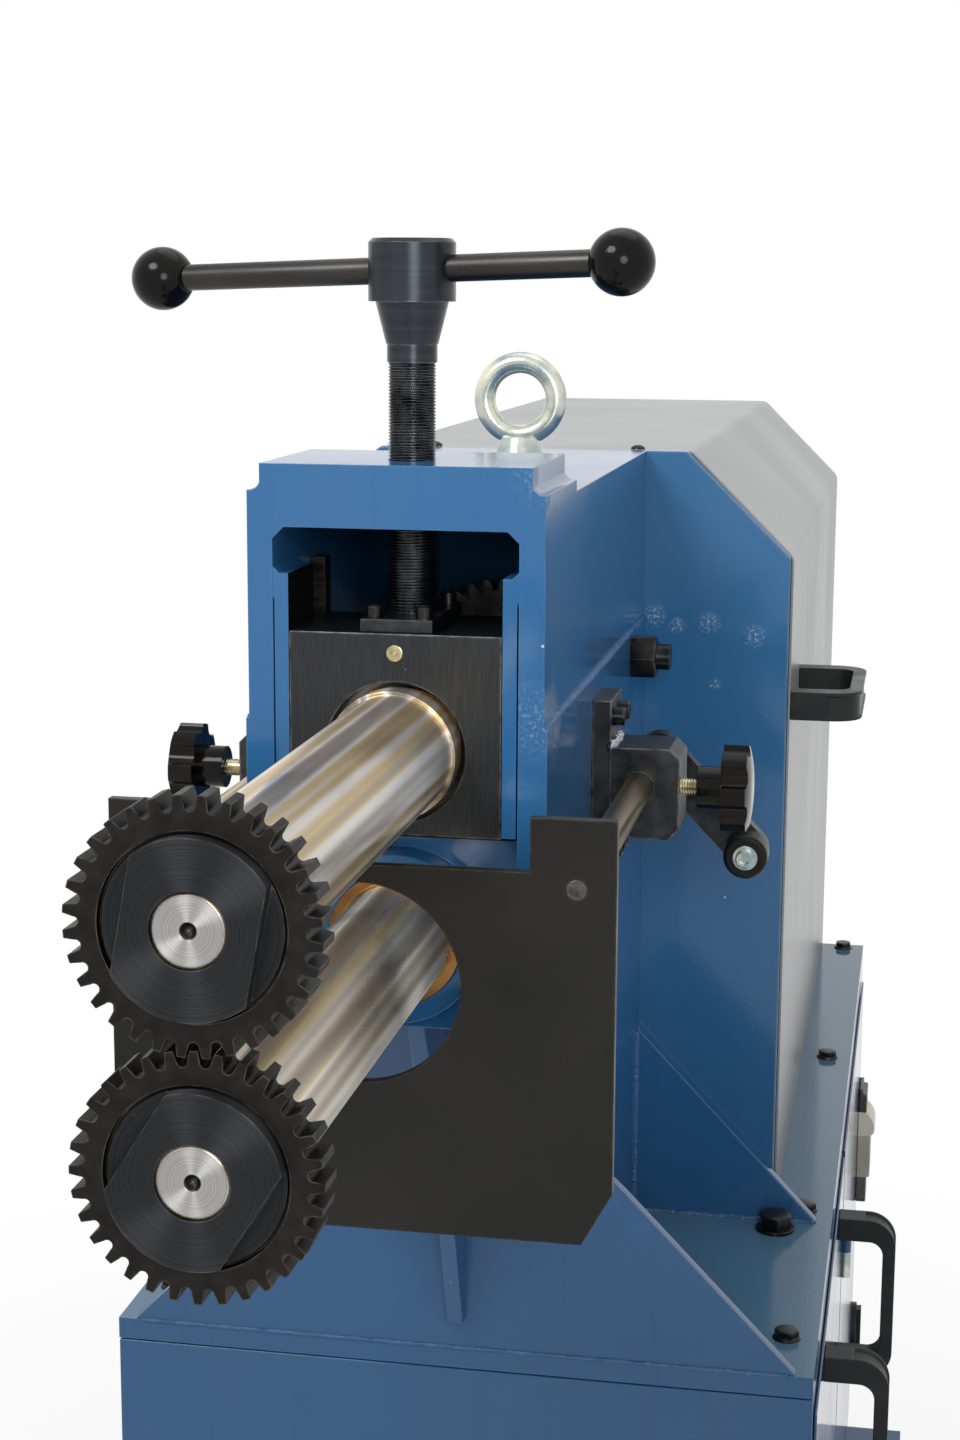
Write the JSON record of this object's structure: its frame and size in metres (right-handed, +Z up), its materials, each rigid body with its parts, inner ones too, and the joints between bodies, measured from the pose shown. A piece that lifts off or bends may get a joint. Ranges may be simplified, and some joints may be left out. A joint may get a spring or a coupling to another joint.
{
  "type": "swaging machine",
  "caption": "Floor-standing powered swaging machine: two parallel overhung shafts with toothed forming rolls, a T-handle lifting screw, sliding depth gauge and cabinet base.",
  "frame": {"origin": "on the floor under the middle of the cabinet", "axes": "+X to the operator's right, +Y from the rolls towards the back, +Z up"},
  "size_m": [0.646, 1.762, 1.4114],
  "materials": {
    "blue_paint": "gloss",
    "grey_paint": "semi-gloss",
    "black_steel": "black oxide",
    "bright_steel": "ground",
    "cast_iron": "as cast",
    "bronze": "machined",
    "zinc": "zinc plated",
    "black_plastic": "moulded",
    "cream_plastic": "moulded"
  },
  "bodies": {
    "frame": {"foot_plate": "blue_paint", "cabinet_shell": "blue_paint", "door_hinges": "bright_steel", "base_plate": "blue_paint", "base_bolts": "black_steel", "head_side_plates": "blue_paint", "lower_side_plates": "blue_paint", "nut_block": "blue_paint", "top_plate": "blue_paint", "guide_rails": "blue_paint", "lower_housing": "blue_paint", "bronze_bush": "bronze", "chin_plate": "blue_paint", "front_plate": "blue_paint", "front_rib": "blue_paint", "rear_plate": "blue_paint", "rear_gussets": "blue_paint", "rear_cover": "grey_paint", "cover_handle": "black_plastic", "cover_screws": "black_steel", "eyebolt": "zinc", "trunnion_pins": "black_steel", "trunnion_nuts": "black_steel", "rear_bearing_housing": "cast_iron", "gearbox": "cast_iron", "motor": "cast_iron", "clamp_brackets": "black_steel", "bracket_screws": "black_steel"},
    "slide_block": {"slide_block": "black_steel", "bearing_seat": "bright_steel", "retaining_plates": "black_steel", "retaining_screws": "black_steel", "grease_nipple": "bronze"},
    "lifting_screw": {"adjusting_screw": "black_steel", "handle_hub": "black_steel"},
    "handle_bar": {"handle_bar": "black_steel", "ball_knobs": "black_plastic"},
    "rear_cradle": {"rear_cradle": "cast_iron", "cradle_bush": "bronze", "bearing_ball": "bright_steel"},
    "upper_shaft": {"upper_shaft": "bright_steel", "upper_gear": "bright_steel", "upper_roll": "black_steel", "upper_roll_nut": "black_steel"},
    "lower_shaft": {"lower_shaft": "bright_steel", "lower_gear": "bright_steel", "lower_roll": "black_steel", "lower_roll_nut": "black_steel"},
    "depth_gauge": {"stop_plate": "black_steel", "gauge_rods": "bright_steel", "gauge_lever": "black_steel", "lever_grip": "black_plastic", "lever_screw": "zinc"},
    "star_knob_right": {"star_knob_right": "black_plastic"},
    "star_knob_left": {"star_knob_left": "black_plastic"},
    "side_panel": {"side_panel": "blue_paint", "panel_handles": "black_plastic"},
    "rear_door": {"rear_door": "blue_paint", "isolator_box": "cream_plastic"},
    "door_latch": {"door_latch": "black_plastic"}
  },
  "joints": [
    {"name": "block_slide", "type": "slide", "parent": "frame", "child": "slide_block", "axis": [0, 0, 1], "range_m": [-0.0012, 0.0245]},
    {"name": "handle_turn", "type": "hinge", "parent": "slide_block", "child": "lifting_screw", "pos_m": [0, -0.724, 1.2], "axis": [0, 0, 1], "range_deg": [-180, 4320]},
    {"name": "bar_slide", "type": "slide", "parent": "lifting_screw", "child": "handle_bar", "axis": [0.9776, -0.2078, 0.0349], "range_m": [-0.088, 0.128]},
    {"name": "cradle_tilt", "type": "hinge", "parent": "frame", "child": "rear_cradle", "pos_m": [0, -0.361, 1.0966], "axis": [1, 0, 0], "range_deg": [-3.8, 0.2]},
    {"name": "upper_spin", "type": "hinge", "parent": "rear_cradle", "child": "upper_shaft", "pos_m": [0, -0.774, 1.0966], "axis": [0, 1, 0], "continuous": true},
    {"name": "lower_spin", "type": "hinge", "parent": "frame", "child": "lower_shaft", "pos_m": [0, -0.774, 0.9791], "axis": [0, 1, 0], "continuous": true},
    {"name": "gauge_slide", "type": "slide", "parent": "frame", "child": "depth_gauge", "axis": [0, 1, 0], "range_m": [-0.064, 0.084]},
    {"name": "right_knob_turn", "type": "hinge", "parent": "frame", "child": "star_knob_right", "pos_m": [0.15, -0.5745, 1.041], "axis": [1, 0, 0], "range_deg": [0, 720]},
    {"name": "left_knob_turn", "type": "hinge", "parent": "frame", "child": "star_knob_left", "pos_m": [-0.15, -0.5745, 1.041], "axis": [-1, 0, 0], "range_deg": [0, 720]},
    {"name": "panel_pull", "type": "slide", "parent": "frame", "child": "side_panel", "axis": [1, 0, 0], "range_m": [0, 0.3]},
    {"name": "door_swing", "type": "hinge", "parent": "frame", "child": "rear_door", "pos_m": [0.2635, -0.0155, 0.3], "axis": [0, 0, -1], "range_deg": [0, 90]},
    {"name": "latch_turn", "type": "hinge", "parent": "rear_door", "child": "door_latch", "pos_m": [0.2605, 0.52, 0.164], "axis": [1, 0, 0], "range_deg": [0, 90]}
  ],
  "couplings": [
    {"joint": "block_slide", "follows": "handle_turn", "m_per_rad": 0.00031831},
    {"joint": "cradle_tilt", "follows": "handle_turn", "ratio": -0.00086497},
    {"joint": "upper_spin", "follows": "lower_spin", "ratio": -1}
  ]
}
